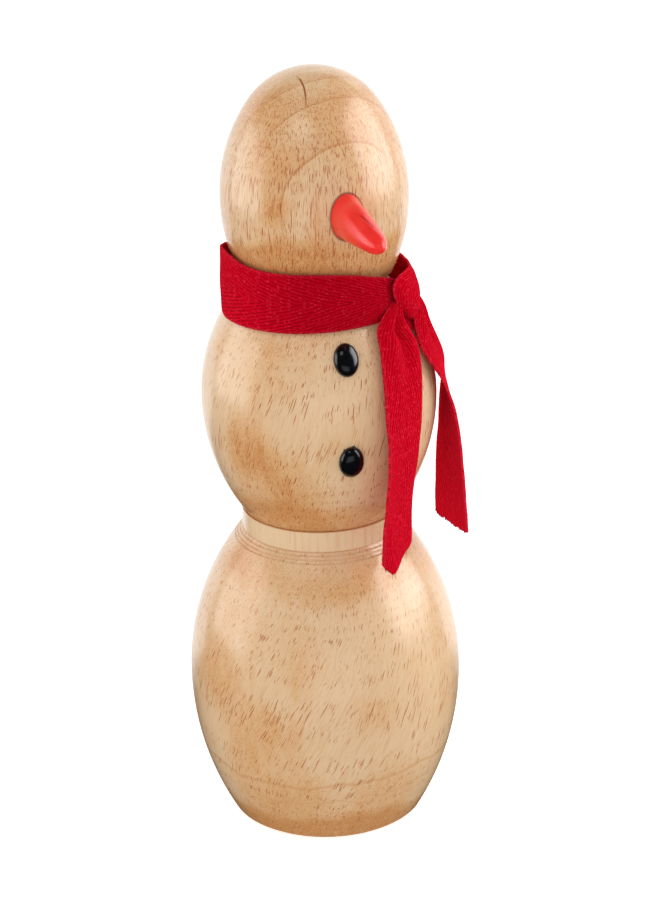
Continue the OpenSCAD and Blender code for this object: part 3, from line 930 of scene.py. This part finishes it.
def card(name, turn, elevation, distance, width, height, radiance, feather=0.3):
    """A white card that only reflections see, fading towards its rim over the share feather of its size."""
    o = area_light(name, turn, elevation, distance, radiance, width, height)
    o.visible_diffuse = False
    o.data.use_nodes = True
    tree = o.data.node_tree
    glow = next(n for n in tree.nodes if n.type == "EMISSION")
    place = tree.nodes.new("ShaderNodeNewGeometry")
    split = tree.nodes.new("ShaderNodeSeparateXYZ")
    tree.links.new(place.outputs["Parametric"], split.inputs[0])
    fade = None
    for side in split.outputs[:2]:
        for limits, ends in (((0.0, feather), (0, 1)), ((1.0 - feather, 1.0), (1, 0))):
            ramp = tree.nodes.new("ShaderNodeMapRange")
            ramp.interpolation_type = "SMOOTHSTEP"
            tree.links.new(side, ramp.inputs["Value"])
            for key, value in zip(("From Min", "From Max", "To Min", "To Max"), (*limits, *ends)):
                ramp.inputs[key].default_value = value
            if fade is None:
                fade = ramp.outputs["Result"]
                continue
            times = tree.nodes.new("ShaderNodeMath")
            times.operation = "MULTIPLY"
            tree.links.new(fade, times.inputs[0])
            tree.links.new(ramp.outputs["Result"], times.inputs[1])
            fade = times.outputs[0]
    tree.links.new(fade, glow.inputs["Strength"])


def fill(name, turn, elevation, distance, width, radiance):
    """A broad soft light that reflections don't see."""
    area_light(name, turn, elevation, distance, radiance, width).visible_glossy = False


def studio_world(level):
    """An even white tent, which reflections don't see."""
    world = bpy.data.worlds.new("studio")
    world.use_nodes = True
    ground = world.node_tree.nodes["Background"]
    ground.inputs["Color"].default_value = (1, 1, 1, 1)
    ground.inputs["Strength"].default_value = level
    world.cycles_visibility.glossy = False
    bpy.context.scene.world = world


def photo_camera():
    """The photograph's viewpoint, 1 m from the figure's middle, and its framing."""
    lens, sensor, roll, aside, below = 115.648, 36.0, -0.022, 0.00339, 0.00095
    middle = Vector((0, 0, 0.135))
    place = middle + outward(PHOTO_TURN, PHOTO_ELEVATION)
    rolled = Matrix.Rotation(roll, 4, "Z")

    def facing(forward):
        return forward.to_track_quat("-Z", "Y").to_matrix().to_4x4() @ rolled

    forward = (middle - place).normalized()
    for _ in range(2):  # the aim is off the middle by these amounts in the picture's own directions
        view = facing(forward)
        aim = middle + view.col[0].to_3d() * aside - view.col[1].to_3d() * below
        forward = (aim - place).normalized()
    camera = bpy.data.cameras.new("photo_camera")
    camera.sensor_fit, camera.sensor_width, camera.lens = "AUTO", sensor, lens
    camera.clip_start, camera.clip_end = 0.05, 20
    o = bpy.data.objects.new("photo_camera", camera)
    o.matrix_world = Matrix.Translation(place) @ facing(forward)
    bpy.context.scene.collection.objects.link(o)
    bpy.context.scene.camera = o


backdrop()
# name, turn, elevation, distance, width, height, radiance
card("card_right", 76, 24, 0.90, 1.25, 1.25, 5.0)
card("card_left", -107, 9, 0.85, 1.05, 0.75, 2.5, feather=0.22)
card("card_top", -35, 50, 1.0, 0.5, 0.35, 1.6)
card("card_front", -10, -8, 1.3, 1.6, 0.9, 0.6)
card("card_back", 166, 6, 1.2, 4.0, 2.0, 1.15, feather=0.12)
# name, turn, elevation, distance, width, radiance
fill("fill_right", 96, 10, 1.2, 1.0, 3.0)
fill("fill_left", -112, 0, 1.2, 1.0, 0.75)
fill("fill_front", -20, 20, 1.3, 1.0, 0.7)
studio_world(0.82)
photo_camera()
settings = bpy.context.scene.view_settings
settings.view_transform, settings.look, settings.exposure = "Standard", "None", 0.0

bpy.context.view_layer.update()
